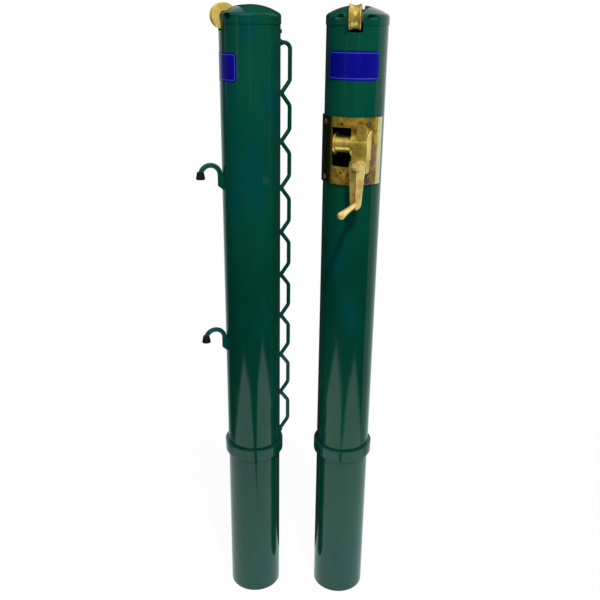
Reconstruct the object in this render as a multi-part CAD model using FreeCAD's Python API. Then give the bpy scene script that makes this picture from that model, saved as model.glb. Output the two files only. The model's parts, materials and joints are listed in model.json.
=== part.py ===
import FreeCAD, Part

import math
import os

from FreeCAD import Vector

# A pair of round tennis net posts in millimetres: a plain anchor post with two cable
# hooks, and a winder post with a worm-geared crank winder.  Both stand upright on their
# ground stubs.  The origin is the centre of the anchor post's foot, +Z is up, +X runs
# towards the winder post and -Y is the side that the crank faces.
#
# Each post is drawn in its own frame: its axis on Z, +X towards the side away from the
# net (sheave, hooks, label) and -X towards the net (lacing rod).

# --- posts --------------------------------------------------------------------------
tube_radius = 66.5
tube_wall = 4.0
stub_length = 418.0
stub_relief = 0.6
height_above_court = 1078.0
post_spacing = 230.0
anchor_heading = -161.3
winder_heading = -97.3

# --- clearances ---------------------------------------------------------------------
seat_gap = 0.1
running_gap = 0.05
side_gap = 0.3

# --- cap ----------------------------------------------------------------------------
cap_height = 39.5
cap_overhang = 1.25
dome_radius = 125.0
dome_edge_radius = 8.5
cap_wall = 5.0
spigot_length = 42.0
cheek_thickness = 6.0
slot_width = 31.0
slot_depth_below_seam = 14.0
slot_corner_radius = 4.0
slot_end_gap = 4.0
channel_depth = 9.0
channel_floor = 3.0
cap_screw_drop = 14.6
cap_screw_angles = (165.0, -105.0)
cap_screw_radius = 3.0
cap_screw_head_radius = 4.2
cap_screw_head_height = 2.6
cap_screw_edge = 1.2
cap_screw_length = 10.0

# --- sheave -------------------------------------------------------------------------
sheave_radius = 26.5
sheave_width = 25.5
sheave_inset = 9.5
sheave_drop = 24.5
sheave_offset = 1.5
groove_root_radius = 23.0
groove_width = 21.5
sheave_rim_chamfer = 1.0
bush_wall = 2.0
sheave_pin_radius = 6.0
sheave_pin_inset = 3.5
sheave_pin_chamfer = 0.8
washer_radius = 10.5

# --- ground collar ------------------------------------------------------------------
collar_wall = 7.5
collar_height = 29.5
collar_edge = 1.5

# --- lacing rod ---------------------------------------------------------------------
rod_radius = 4.7
rod_stand = 24.5
hump_count = 9
hump_ramp = 27.0
rod_top_drop = 77.0
rod_bend_radius = 14.0
rod_valley_radius = 7.0
weld_radius = 8.5
weld_length = 9.0
valley_weld_radius = 7.5
rod_tail = 8.0
rod_foot_gap = 5.0

# --- cable hooks --------------------------------------------------------------------
hook_rod_radius = 5.75
hook_stand = 50.5
hook_shank_length = 34.0
upper_hook_drop = 359.0
hook_spacing = 398.0
hook_weld_width = 20.0
hook_bevel = 9.0
tip_length = 17.0
tip_top_radius = 7.6
tip_base_radius = 11.0
tip_edge_radius = 2.0
tip_end_wall = 3.0

# --- label --------------------------------------------------------------------------
label_turn = -3.0
label_half_angle = 53.0
anchor_label_drop = 96.5
winder_label_drop = 89.5
label_height = 59.5
label_thickness = 0.5
label_corner_radius = 7.0

# --- winder: casting ----------------------------------------------------------------
winder_turn = -12.7
winder_drop = 297.0
plate_half_angle = 77.0
plate_height = 145.0
plate_thickness = 3.3
plate_screw_angle = 44.0
plate_screw_spacing = 121.5
plate_screw_radius = 3.5
plate_screw_head_radius = 6.0
plate_screw_head_height = 2.2
plate_screw_edge = 1.0
plate_hole_left = 7.0
plate_hole_above_window = 7.5
plate_hole_below_window = 13.0
plate_hole_radius = 3.0
window_left = -29.7
window_below_reel = 46.5
window_above_reel = 38.0
window_corner_radius = 3.0
window_overlap = 0.5
tube_window_gap = 2.0
tube_window_margin = 1.0
reel_inset = 22.5
reel_rise = 13.0
housing_left = 14.0
housing_right = 51.0
housing_wall = 2.7
housing_cover_thickness = 3.0
housing_cover_overlap = 1.0
housing_cover_register = 4.0
housing_cover_chamfer = 1.0
cover_boss_wall = 4.0
worm_box_stand = 11.5
worm_box_half_width = 16.5
worm_box_floor = 4.0
boss_length = 5.0
boss_radius = 13.0
top_lug_left = 27.0
top_lug_right = 50.0
top_lug_rise = 44.0
top_lug_corner = 10.0
top_lug_stand = 6.0

# --- winder: gearing and reel -------------------------------------------------------
gear_module = 2.0
wheel_teeth = 26
worm_pitch_radius = 12.0
worm_turns = 5
gear_backlash = 0.45
thread_overlap = 0.5
pressure_angle = 20.0
wheel_width = 14.0
wheel_tip_clearance = 0.8
gear_offset = 4.0
worm_end_gap = 4.0
reel_shaft_radius = 7.0
reel_bush_wall = 2.5
drum_radius = 18.5
drum_left = -24.0
flange_radius = 24.5
flange_thickness = 4.0
flange_edge_radius = 1.2
drum_end_wall = 4.0
cable_hole_radius = 3.2

# --- winder: crank ------------------------------------------------------------------
crank_shaft_radius = 6.5
crank_square = 9.6
crank_gap = 3.0
crank_thickness = 11.0
crank_edge_thickness = 6.0
crank_length = 84.0
crank_head_width = 37.0
crank_head_rise = 11.0
crank_head_corner = 8.0
crank_toe_width = 21.5
crank_toe_drop = 10.5
crank_toe_corner = 9.5
crank_boss_radius = 10.0
crank_boss_stand = 2.0
crank_screw_radius = 2.5
crank_screw_head_radius = 5.5
crank_screw_head_height = 3.0
crank_screw_length = 7.0
grip_length = 118.0
grip_waist = 0.9
grip_root_radius = 5.2
grip_end_radius = 8.2

# --- values worked out from the dimensions above -------------------------------------
tube_bore = tube_radius - tube_wall
top_height = stub_length + height_above_court
seam_height = top_height - cap_height
stub_radius = tube_radius - stub_relief
cap_radius = tube_radius + cap_overhang
spigot_radius = tube_bore - seat_gap
spigot_bore = spigot_radius - cap_wall
sheave_reach = tube_radius - sheave_inset
sheave_height = top_height - sheave_drop
sheave_bush_radius = sheave_pin_radius + running_gap + bush_wall
cap_screw_height = seam_height - cap_screw_drop
collar_top = stub_length + collar_height
rod_reach = tube_radius + rod_stand
rod_valley_reach = tube_radius + seat_gap + rod_radius
rod_top = top_height - rod_top_drop
hump_pitch = (rod_top - collar_top - rod_foot_gap - rod_tail) / hump_count
hook_reach = tube_radius + hook_stand
upper_hook_height = top_height - upper_hook_drop
hook_shank_reach = tube_radius + seat_gap + hook_rod_radius
hook_arch_radius = (hook_reach - hook_shank_reach) / 2
plate_inner = tube_radius + seat_gap
plate_outer = plate_inner + plate_thickness
winder_height = top_height - winder_drop
reel_depth = tube_radius - reel_inset
reel_height = winder_height + reel_rise
window_bottom = reel_height - window_below_reel
window_top = reel_height + window_above_reel
wheel_pitch_radius = gear_module * wheel_teeth / 2
wheel_tip_radius = wheel_pitch_radius + gear_module
wheel_root_radius = wheel_pitch_radius - 1.25 * gear_module
worm_tip_radius = worm_pitch_radius + gear_module
worm_root_radius = worm_pitch_radius - 1.25 * gear_module
worm_pitch = math.pi * gear_module
housing_bore = wheel_tip_radius + wheel_tip_clearance
housing_radius = housing_bore + housing_wall
cover_radius = housing_radius + housing_cover_overlap
worm_height = reel_height - wheel_pitch_radius - worm_pitch_radius
gear_middle = (housing_left + housing_right) / 2 + gear_offset
worm_box_front = tube_radius + worm_box_stand
worm_cavity_half_length = worm_turns * worm_pitch / 2 + worm_end_gap
worm_box_low = worm_height - worm_tip_radius - wheel_tip_clearance - worm_box_floor
reel_bush_radius = reel_shaft_radius + running_gap + reel_bush_wall
worm_cavity_radius = worm_tip_radius + wheel_tip_clearance
crank_back = worm_box_front + boss_length + crank_gap
crank_front = crank_back + crank_thickness + crank_boss_stand
grip_end = crank_back + grip_length
crank_screw_seat = crank_front - crank_screw_head_height
worm_bush_radius = crank_shaft_radius + running_gap + bush_wall
above_top = top_height + cap_height
far_out = 3 * tube_radius


# --- small helpers ------------------------------------------------------------------
def rod_between(start, end, radius):
    """A round bar from one point to another."""
    direction = end - start
    return Part.makeCylinder(radius, direction.Length, start, direction)


def ring(outer, inner, low, high):
    """An upright ring about the Z axis."""
    body = Part.makeCylinder(outer, high - low, Vector(0, 0, low))
    return body.cut(Part.makeCylinder(inner, high - low, Vector(0, 0, low)))


def sleeve(start, end, outer, inner):
    """A tube between two points."""
    return rod_between(start, end, outer).cut(rod_between(start, end, inner))


def box_between(low, high):
    """A box given by its two opposite corners."""
    size = high - low
    return Part.makeBox(size.x, size.y, size.z, low)


def closed_face(points):
    """A flat face inside a closed polygon."""
    return Part.Face(Part.makePolygon(points + [points[0]]))


def rounded_face(width_low, width_high, low, high, radius, at_x):
    """A rounded rectangle in the plane x = at_x, in Y and Z."""
    corners = [
        Vector(at_x, width_low, low),
        Vector(at_x, width_high, low),
        Vector(at_x, width_high, high),
        Vector(at_x, width_low, high),
    ]
    return Part.Face(bent_wire(corners, [radius] * 4, closed=True))


def bent_wire(points, radii, closed=False):
    """Straight runs through the points, each corner rounded with its own radius."""
    count = len(points)
    edges = []
    previous_end = None if closed else points[0]
    first_start = None
    corners = range(count) if closed else range(1, count - 1)
    for index in corners:
        corner = points[index]
        inward = (points[index - 1] - corner).normalize()
        outward = (points[(index + 1) % count] - corner).normalize()
        half_angle = inward.getAngle(outward) / 2
        reach = radii[index] / math.tan(half_angle)
        start = corner + inward * reach
        end = corner + outward * reach
        bisector = (inward + outward).normalize()
        centre = corner + bisector * (radii[index] / math.sin(half_angle))
        middle = centre - bisector * radii[index]
        if previous_end is not None:
            edges.append(Part.LineSegment(previous_end, start).toShape())
        else:
            first_start = start
        edges.append(Part.Arc(start, middle, end).toShape())
        previous_end = end
    last = first_start if closed else points[-1]
    edges.append(Part.LineSegment(previous_end, last).toShape())
    return Part.Wire(edges)


def bar_along(wire, start, direction, radius):
    """A round bar swept along a wire that begins at start."""
    section = Part.Wire(Part.makeCircle(radius, start, direction))
    return wire.makePipeShell([section], True, False)


def turned(shape, angle):
    """A copy turned about the Z axis."""
    copy = shape.copy()
    copy.rotate(Vector(0, 0, 0), Vector(0, 0, 1), angle)
    return copy


# --- post tube ----------------------------------------------------------------------
def sheave_slot():
    """The space that the slot takes out of the tube and the cap on the outward side."""
    low = seam_height - slot_depth_below_seam
    start = sheave_reach - sheave_radius - slot_end_gap
    face = rounded_face(
        -slot_width / 2, slot_width / 2, low, above_top, slot_corner_radius, start
    )
    return face.extrude(Vector(tube_radius, 0, 0))


def cap_screw_holes(radius):
    """Radial holes for the screws that hold the cap's spigot."""
    holes = []
    for angle in cap_screw_angles:
        start = Vector(spigot_bore - cap_wall, 0, cap_screw_height)
        end = Vector(far_out, 0, cap_screw_height)
        holes.append(turned(rod_between(start, end, radius), angle))
    return Part.makeCompound(holes)


def post_tube():
    """Tube with a ground stub turned down a little to enter the sleeve in the court."""
    tube = ring(tube_radius, tube_bore, stub_length, seam_height)
    tube = tube.fuse(ring(stub_radius, tube_bore, 0, stub_length)).removeSplitter()
    tube = tube.cut(sheave_slot())
    return tube.cut(cap_screw_holes(cap_screw_radius + seat_gap))


def winder_post_tube():
    return post_tube().cut(turned(tube_window(), winder_turn))


def ground_collar():
    """Ring that rests on the rim of the ground sleeve."""
    outside = tube_radius + collar_wall
    collar = ring(outside, tube_radius + seat_gap, stub_length, collar_top)
    rims = [edge for edge in collar.Edges if is_circle(edge, outside)]
    return collar.makeFillet(collar_edge, rims)


def is_circle(edge, radius):
    if edge.Degenerated or not isinstance(edge.Curve, Part.Circle):
        return False
    return abs(edge.Curve.Radius - radius) < 1e-6


# --- cap and its sheave -------------------------------------------------------------
def cap_outside():
    """The domed top, its skirt and the spigot that goes down into the tube."""
    centre = Vector(0, 0, top_height - dome_radius)
    head = Part.makeCylinder(cap_radius, cap_height, Vector(0, 0, seam_height))
    head = head.common(Part.makeSphere(dome_radius, centre))
    edges = []
    for edge in head.Edges:
        if is_circle(edge, cap_radius) and edge.BoundBox.ZMin > seam_height + seat_gap:
            edges.append(edge)
    head = head.makeFillet(dome_edge_radius, edges)
    spigot_low = seam_height - spigot_length
    spigot = Part.makeCylinder(spigot_radius, spigot_length + cap_wall, Vector(0, 0, spigot_low))
    return head.fuse(spigot)


def cap():
    """Cast cap: slot and cheeks for the sheave, a cable channel over its top."""
    low = seam_height - spigot_length
    cavity_high = top_height - cap_wall - channel_depth - channel_floor
    cavity = Part.makeCylinder(spigot_bore, cavity_high - low, Vector(0, 0, low))
    half = slot_width / 2
    cheeks = box_between(
        Vector(-spigot_radius, -half - cheek_thickness, seam_height - slot_depth_below_seam),
        Vector(spigot_radius, half + cheek_thickness, cavity_high),
    )
    keyway = box_between(
        Vector(-spigot_radius, -half, low), Vector(sheave_reach, half, cavity_high)
    )
    channel = rounded_face(
        -half, half, top_height - channel_depth, above_top, slot_corner_radius, -far_out
    ).extrude(Vector(far_out + sheave_reach, 0, 0))
    pin = rod_between(
        Vector(sheave_reach, -cap_radius, sheave_height),
        Vector(sheave_reach, cap_radius, sheave_height),
        sheave_pin_radius,
    )
    body = cap_outside().cut(cavity.cut(cheeks)).cut(sheave_slot())
    body = body.cut(keyway.common(cavity)).cut(channel).cut(pin)
    return body.cut(cap_screw_holes(cap_screw_radius))


def sheave():
    """A wide-grooved pulley about the cross axis."""
    half = sheave_width / 2
    groove = groove_width / 2
    edge = half - sheave_rim_chamfer
    radius = sheave_radius
    lines = [
        (sheave_bush_radius, -half, radius - sheave_rim_chamfer, -half),
        (radius - sheave_rim_chamfer, -half, radius, -edge),
        (radius, -edge, radius, -groove),
    ]
    edges = [Part.LineSegment(Vector(a, b, 0), Vector(c, d, 0)).toShape() for a, b, c, d in lines]
    edges.append(
        Part.Arc(
            Vector(radius, -groove, 0), Vector(groove_root_radius, 0, 0), Vector(radius, groove, 0)
        ).toShape()
    )
    for a, b, c, d in reversed(lines):
        edges.append(Part.LineSegment(Vector(c, -d, 0), Vector(a, -b, 0)).toShape())
    edges.append(
        Part.LineSegment(
            Vector(sheave_bush_radius, half, 0), Vector(sheave_bush_radius, -half, 0)
        ).toShape()
    )
    body = Part.Face(Part.Wire(edges)).revolve(Vector(0, 0, 0), Vector(0, 1, 0), 360)
    body.translate(Vector(sheave_reach, -sheave_offset, sheave_height))
    return body


def on_sheave_axis(low, high, outer, inner):
    start = Vector(sheave_reach, low, sheave_height)
    end = Vector(sheave_reach, high, sheave_height)
    return sleeve(start, end, outer, inner)


def sheave_bush():
    half = sheave_width / 2
    inner = sheave_pin_radius + running_gap
    return on_sheave_axis(
        -sheave_offset - half, -sheave_offset + half, sheave_bush_radius, inner
    )


def sheave_pin():
    """Pin across the slot, set back from the cap's skirt at both ends."""
    skirt = math.sqrt(cap_radius ** 2 - (sheave_reach + sheave_pin_radius) ** 2)
    reach = skirt - sheave_pin_inset + cheek_thickness / 2
    pin = rod_between(
        Vector(sheave_reach, -reach, sheave_height),
        Vector(sheave_reach, reach, sheave_height),
        sheave_pin_radius,
    )
    rims = [edge for edge in pin.Edges if is_circle(edge, sheave_pin_radius)]
    return pin.makeChamfer(sheave_pin_chamfer, rims)


def sheave_washers():
    """A thin washer on one side of the sheave and a thick one on the other."""
    half = sheave_width / 2
    slot = slot_width / 2
    bore = sheave_pin_radius + running_gap
    thin = on_sheave_axis(-slot, -sheave_offset - half - side_gap, washer_radius, bore)
    thick = on_sheave_axis(-sheave_offset + half + side_gap, slot, washer_radius, bore)
    return Part.makeCompound([thin, thick])


def headed_screw(seat, height, radius, length, head_radius, head_height, edge_radius):
    """A button-head screw along +X whose head sits on x = seat."""
    shank = rod_between(Vector(seat - length, 0, height), Vector(seat, 0, height), radius)
    top = Vector(seat + head_height, 0, height)
    head = rod_between(Vector(seat, 0, height), top, head_radius)
    rims = [edge for edge in head.Edges if is_circle(edge, head_radius)]
    outer = [edge for edge in rims if edge.BoundBox.XMin > seat + head_height / 2]
    return head.makeFillet(edge_radius, outer).fuse(shank).removeSplitter()


def cap_screws():
    screw = headed_screw(
        tube_radius,
        cap_screw_height,
        cap_screw_radius,
        cap_screw_length,
        cap_screw_head_radius,
        cap_screw_head_height,
        cap_screw_edge,
    )
    return Part.makeCompound([turned(screw, angle) for angle in cap_screw_angles])


# --- lacing rod ---------------------------------------------------------------------
def valley_height(hump):
    """Where the rod touches the post after that hump, counted from 0 at the top."""
    return rod_top - (hump + 1) * hump_pitch


def lacing_rod():
    """One bent rod, welded to the post at its top leg and at every valley."""
    start = Vector(-tube_radius - seat_gap, 0, rod_top)
    outward = Vector(-1, 0, 0)
    points = [start, Vector(-rod_reach, 0, rod_top)]
    radii = [0, rod_bend_radius]
    welds = [Part.makeCone(weld_radius, rod_radius, weld_length, start, outward)]
    for hump in range(hump_count):
        valley = valley_height(hump)
        points.append(Vector(-rod_reach, 0, valley + hump_ramp))
        points.append(Vector(-rod_valley_reach, 0, valley))
        radii += [rod_bend_radius, rod_valley_radius]
        if hump < hump_count - 1:
            points.append(Vector(-rod_reach, 0, valley - hump_ramp))
            radii.append(rod_bend_radius)
        bead = Vector(-tube_radius - rod_radius / 2, 0, valley)
        welds.append(Part.makeSphere(valley_weld_radius, bead))
    points.append(Vector(-rod_valley_reach, 0, points[-1].z - rod_tail))
    rod = bar_along(bent_wire(points, radii), start, outward, rod_radius)
    return rod.fuse(welds).cut(post_core())


# --- cable hooks --------------------------------------------------------------------
def post_core():
    """The space of the post itself, which welded pieces stay out of."""
    return Part.makeCylinder(tube_radius + seat_gap, seam_height)


def hook_wire(centre_height):
    low = centre_height - hook_shank_length
    shank_start = Vector(hook_shank_reach, 0, low)
    shank_end = Vector(hook_shank_reach, 0, centre_height)
    crown = Vector(hook_shank_reach + hook_arch_radius, 0, centre_height + hook_arch_radius)
    tip_top = Vector(hook_reach, 0, centre_height)
    tip_end = Vector(hook_reach, 0, centre_height - tip_length / 2 + tip_end_wall)
    return Part.Wire(
        [
            Part.LineSegment(shank_start, shank_end).toShape(),
            Part.Arc(shank_end, crown, tip_top).toShape(),
            Part.LineSegment(tip_top, tip_end).toShape(),
        ]
    )


def hook_bar(centre_height, radius):
    start = Vector(hook_shank_reach, 0, centre_height - hook_shank_length)
    return bar_along(hook_wire(centre_height), start, Vector(0, 0, 1), radius)


def cable_hook(centre_height):
    """A downward hook: its shank is welded along the post, its foot is bevelled."""
    low = centre_height - hook_shank_length
    outer = hook_shank_reach + hook_rod_radius
    half = hook_weld_width / 2
    weld = closed_face(
        [
            Vector(tube_bore, -half, low),
            Vector(hook_shank_reach, -hook_rod_radius, low),
            Vector(hook_shank_reach, hook_rod_radius, low),
            Vector(tube_bore, half, low),
        ]
    ).extrude(Vector(0, 0, hook_shank_length))
    bevel = closed_face(
        [
            Vector(tube_radius, -half, low),
            Vector(outer, -half, low),
            Vector(outer, -half, low + hook_bevel),
        ]
    ).extrude(Vector(0, 2 * half, 0))
    body = hook_bar(centre_height, hook_rod_radius).fuse(weld)
    return body.cut(bevel).cut(post_core())


def hook_tip(centre_height):
    """A bell-shaped rubber tip pushed over the end of the hook."""
    top = tip_length / 2
    points = [
        Vector(0, 0, -top),
        Vector(tip_base_radius, 0, -top),
        Vector(tip_top_radius, 0, top),
        Vector(0, 0, top),
    ]
    bell = closed_face(points).revolve(Vector(0, 0, 0), Vector(0, 0, 1), 360)
    rim = [edge for edge in bell.Edges if is_circle(edge, tip_base_radius)]
    bell = bell.makeFillet(tip_edge_radius, rim)
    bell.translate(Vector(hook_reach, 0, centre_height))
    return bell.cut(hook_bar(centre_height, hook_rod_radius + running_gap))


# --- label --------------------------------------------------------------------------
def label(drop):
    """Thin plate bent round the post, with rounded corners and nothing on it."""
    high = top_height - drop
    low = high - label_height
    inner = tube_radius + seat_gap / 2
    skin = ring(inner + label_thickness, inner, low, high)
    half = tube_radius * math.sin(math.radians(label_half_angle))
    outline = rounded_face(-half, half, low, high, label_corner_radius, 0)
    return turned(skin.common(outline.extrude(Vector(far_out, 0, 0))), label_turn)


# --- winder casting -----------------------------------------------------------------
def housing_outside():
    """Gear housing: a barrel across the post over a box round the worm."""
    barrel = on_reel_axis(housing_left, housing_right, housing_radius)
    back = reel_depth - worm_cavity_half_length - worm_box_floor
    box = box_between(
        Vector(back, gear_middle - worm_box_half_width, worm_box_low),
        Vector(worm_box_front, gear_middle + worm_box_half_width, reel_height),
    )
    return barrel.fuse(box)


def window_space():
    """The reel's window beside the housing."""
    right = housing_left + window_overlap
    face = rounded_face(
        window_left, right, window_bottom, window_top, window_corner_radius, 0
    )
    return face.extrude(Vector(far_out, 0, 0))


def tube_window():
    """The hole in the tube wall that lets the reel and the housing through."""
    face = rounded_face(
        window_left - tube_window_margin,
        housing_right + housing_cover_thickness + tube_window_gap,
        worm_box_low - tube_window_gap,
        window_top + tube_window_margin,
        window_corner_radius,
        0,
    )
    return face.extrude(Vector(far_out, 0, 0))


def plate_screw_places():
    places = []
    for angle in (-plate_screw_angle, plate_screw_angle):
        for side in (-0.5, 0.5):
            places.append((angle, winder_height + side * plate_screw_spacing))
    return places


def saddle_plate():
    """The curved plate that clasps the post."""
    low = winder_height - plate_height / 2
    high = low + plate_height
    section = closed_face(
        [
            Vector(plate_inner, 0, low),
            Vector(plate_outer, 0, low),
            Vector(plate_outer, 0, high),
            Vector(plate_inner, 0, high),
        ]
    )
    plate = section.revolve(Vector(0, 0, 0), Vector(0, 0, 1), 2 * plate_half_angle)
    return turned(plate, -plate_half_angle).cut(window_space())


def plate_holes():
    """Holes for the four plate screws, and two pin holes above and below the window."""
    holes = []
    for angle, height in plate_screw_places():
        start = Vector(tube_radius, 0, height)
        hole = rod_between(start, start + Vector(far_out, 0, 0), plate_screw_radius)
        holes.append(turned(hole, angle))
    low = window_bottom - plate_hole_below_window
    high = window_top + plate_hole_above_window
    for height in (low, high):
        start = Vector(0, -plate_hole_left, height)
        holes.append(rod_between(start, start + Vector(far_out, 0, 0), plate_hole_radius))
    return holes


def top_lug():
    """Block on the plate over the gear housing, its corner cut off beside a screw."""
    low = reel_height
    high = reel_height + top_lug_rise
    face = closed_face(
        [
            Vector(reel_depth, top_lug_left, low),
            Vector(reel_depth, top_lug_right, low),
            Vector(reel_depth, top_lug_right, high - top_lug_corner),
            Vector(reel_depth, top_lug_right - top_lug_corner, high),
            Vector(reel_depth, top_lug_left, high),
        ]
    )
    reach = tube_radius + top_lug_stand - reel_depth
    return face.extrude(Vector(reach, 0, 0)).cut(post_core())


def winder_casting():
    """Saddle plate with the gear housing cast on it."""
    crank_boss = on_crank_axis(reel_depth, worm_box_front + boss_length, boss_radius)
    body = saddle_plate().fuse([housing_outside(), crank_boss, top_lug()])
    cover_end = housing_right + housing_cover_thickness + side_gap
    cover_space = on_reel_axis(housing_right, cover_end, cover_radius + side_gap)
    body = body.cut([cover_space, gear_space()] + plate_holes())
    return body.removeSplitter()


def gear_space():
    """Everything hollow inside the housing: wheel chamber, worm tunnel, bearing bores."""
    wheel_left = gear_middle - wheel_width / 2 - side_gap
    chamber = on_reel_axis(wheel_left, housing_right, housing_bore)
    shaft_bore = on_reel_axis(housing_left, wheel_left, reel_bush_radius)
    back = reel_depth - worm_cavity_half_length
    front = reel_depth + worm_cavity_half_length
    tunnel = on_crank_axis(back, front, worm_cavity_radius)
    worm_bore = on_crank_axis(front, worm_box_front + boss_length, worm_bush_radius)
    return chamber.fuse([shaft_bore, tunnel, worm_bore])


def housing_cover():
    """Disc that closes the wheel chamber, with a register and the outer bearing boss."""
    wheel_right = gear_middle + wheel_width / 2 + side_gap
    outer = housing_right + housing_cover_thickness
    disc = on_reel_axis(housing_right, outer, cover_radius)
    rims = [edge for edge in disc.Edges if is_circle(edge, cover_radius)]
    middle = on_reel_axis(housing_right, outer, cover_radius).CenterOfMass.y
    far = [edge for edge in rims if edge.BoundBox.YMin > middle]
    disc = disc.makeChamfer(housing_cover_chamfer, far)
    register_start = housing_right - housing_cover_register
    register = on_reel_axis(register_start, housing_right, housing_bore - seat_gap)
    boss = on_reel_axis(wheel_right, housing_right, reel_bush_radius + cover_boss_wall)
    bore = on_reel_axis(wheel_right, housing_right, reel_bush_radius)
    return disc.fuse([register, boss]).cut(bore)


def plate_screws():
    screws = []
    for angle, height in plate_screw_places():
        screw = headed_screw(
            plate_outer,
            height,
            plate_screw_radius,
            plate_thickness,
            plate_screw_head_radius,
            plate_screw_head_height,
            plate_screw_edge,
        )
        screws.append(turned(screw, angle))
    return Part.makeCompound(screws)


# --- reel ---------------------------------------------------------------------------
def on_reel_axis(left, right, radius):
    return rod_between(
        Vector(reel_depth, left, reel_height), Vector(reel_depth, right, reel_height), radius
    )


def reel_drum():
    """Drum and left flange in one casting, with a cross hole for the cable's end."""
    drum = on_reel_axis(drum_left, housing_left - side_gap, drum_radius)
    flange = on_reel_axis(drum_left - flange_thickness, drum_left, flange_radius)
    rims = [edge for edge in flange.Edges if is_circle(edge, flange_radius)]
    body = drum.fuse(flange.makeFillet(flange_edge_radius, rims))
    hole_start = Vector(reel_depth, drum_left / 2, reel_height)
    hole = rod_between(hole_start, hole_start + Vector(0, 0, flange_radius), cable_hole_radius)
    bore_start = drum_left + drum_end_wall
    bore = on_reel_axis(bore_start, housing_left, reel_shaft_radius + running_gap)
    return body.cut(hole).cut(bore)


def reel_shaft():
    left = drum_left + drum_end_wall + seat_gap
    return on_reel_axis(left, housing_right - seat_gap, reel_shaft_radius)


def reel_bushes():
    wheel_left = gear_middle - wheel_width / 2 - side_gap
    wheel_right = gear_middle + wheel_width / 2 + side_gap
    bore = reel_shaft_radius + running_gap
    bushes = []
    for left, right in ((housing_left, wheel_left), (wheel_right, housing_right)):
        outer = on_reel_axis(left, right, reel_bush_radius)
        bushes.append(outer.cut(on_reel_axis(left, right, bore)))
    return Part.makeCompound(bushes)


def tooth_outline(across, turn):
    """The worm wheel's outline as a closed wire at one place along its axis."""
    slope = math.tan(math.radians(pressure_angle))
    middle_half = (math.pi * gear_module / 2 - gear_backlash) / 2
    tip_half = middle_half - slope * gear_module
    root_half = middle_half + slope * 1.25 * gear_module
    points = []
    for tooth in range(wheel_teeth):
        centre = -math.pi / 2 + 2 * math.pi * tooth / wheel_teeth
        flank = (
            (wheel_root_radius, -root_half),
            (wheel_tip_radius, -tip_half),
            (wheel_tip_radius, tip_half),
            (wheel_root_radius, root_half),
        )
        for radius, offset in flank:
            angle = centre + offset / radius - turn
            depth = reel_depth + radius * math.cos(angle)
            height = reel_height + radius * math.sin(angle)
            points.append(Vector(depth, across, height))
    return Part.makePolygon(points + [points[0]])


def worm_wheel():
    """Wheel whose teeth slant to match the worm's lead."""
    half = wheel_width / 2
    twist = half / (worm_pitch_radius * wheel_pitch_radius) * gear_module / 2
    sections = [
        tooth_outline(gear_middle - half, -twist),
        tooth_outline(gear_middle + half, twist),
    ]
    blank = Part.makeLoft(sections, True, True)
    bore = on_reel_axis(gear_middle - half, gear_middle + half, reel_shaft_radius + running_gap)
    return blank.cut(bore)


# --- crank --------------------------------------------------------------------------
def on_crank_axis(back, front, radius):
    return rod_between(
        Vector(back, gear_middle, worm_height), Vector(front, gear_middle, worm_height), radius
    )


def square_bar(back, front):
    """The square that turns the shaft with the crank."""
    half = crank_square / 2
    return box_between(
        Vector(back, gear_middle - half, worm_height - half),
        Vector(front, gear_middle + half, worm_height + half),
    )


def worm_thread():
    """One-start thread about X, starting half a pitch past a wheel tooth."""
    slope = math.tan(math.radians(pressure_angle))
    middle_half = (math.pi * gear_module / 2 - gear_backlash) / 2
    tip_half = middle_half - slope * gear_module
    root = worm_root_radius - thread_overlap
    root_half = middle_half + slope * (worm_pitch_radius - root)
    length = worm_turns * worm_pitch
    helix = Part.makeHelix(worm_pitch, length, worm_pitch_radius)
    profile = Part.makePolygon(
        [
            Vector(root, 0, -root_half),
            Vector(worm_tip_radius, 0, -tip_half),
            Vector(worm_tip_radius, 0, tip_half),
            Vector(root, 0, root_half),
            Vector(root, 0, -root_half),
        ]
    )
    thread = Part.Wire(helix).makePipeShell([profile], True, True)
    thread.rotate(Vector(0, 0, 0), Vector(1, 0, 1), 180)
    thread.translate(Vector(reel_depth - length / 2, gear_middle, worm_height))
    return thread


def worm_shaft():
    """Worm cut on the crank shaft, with a square front end for the crank."""
    half = worm_turns * worm_pitch / 2 + gear_module
    core = on_crank_axis(reel_depth - half, reel_depth + half, worm_root_radius)
    back = reel_depth - worm_cavity_half_length + seat_gap
    shaft = on_crank_axis(back, crank_back, crank_shaft_radius)
    square = square_bar(crank_back, crank_screw_seat - side_gap)
    square = square.common(on_crank_axis(crank_back, grip_end, crank_shaft_radius))
    body = core.fuse([shaft, square]).fuse(worm_thread())
    hole_end = crank_back - crank_screw_length - seat_gap
    screw_hole = on_crank_axis(hole_end, grip_end, crank_screw_radius)
    return body.cut(screw_hole)


def worm_bush():
    front = worm_box_front + boss_length
    back = reel_depth + worm_cavity_half_length
    outer = on_crank_axis(back, front, worm_bush_radius)
    return outer.cut(on_crank_axis(back, front, crank_shaft_radius + running_gap))


def arm_outline():
    """Tapered outline of the arm, rounded at all four corners, in the crank's back plane."""
    top = worm_height + crank_head_rise
    low = worm_height - crank_length - crank_toe_drop
    corners = [
        Vector(crank_back, gear_middle - crank_head_width / 2, top),
        Vector(crank_back, gear_middle + crank_head_width / 2, top),
        Vector(crank_back, gear_middle + crank_toe_width / 2, low),
        Vector(crank_back, gear_middle - crank_toe_width / 2, low),
    ]
    radii = [crank_head_corner, crank_head_corner, crank_toe_corner, crank_toe_corner]
    return bent_wire(corners, radii, closed=True)


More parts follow.
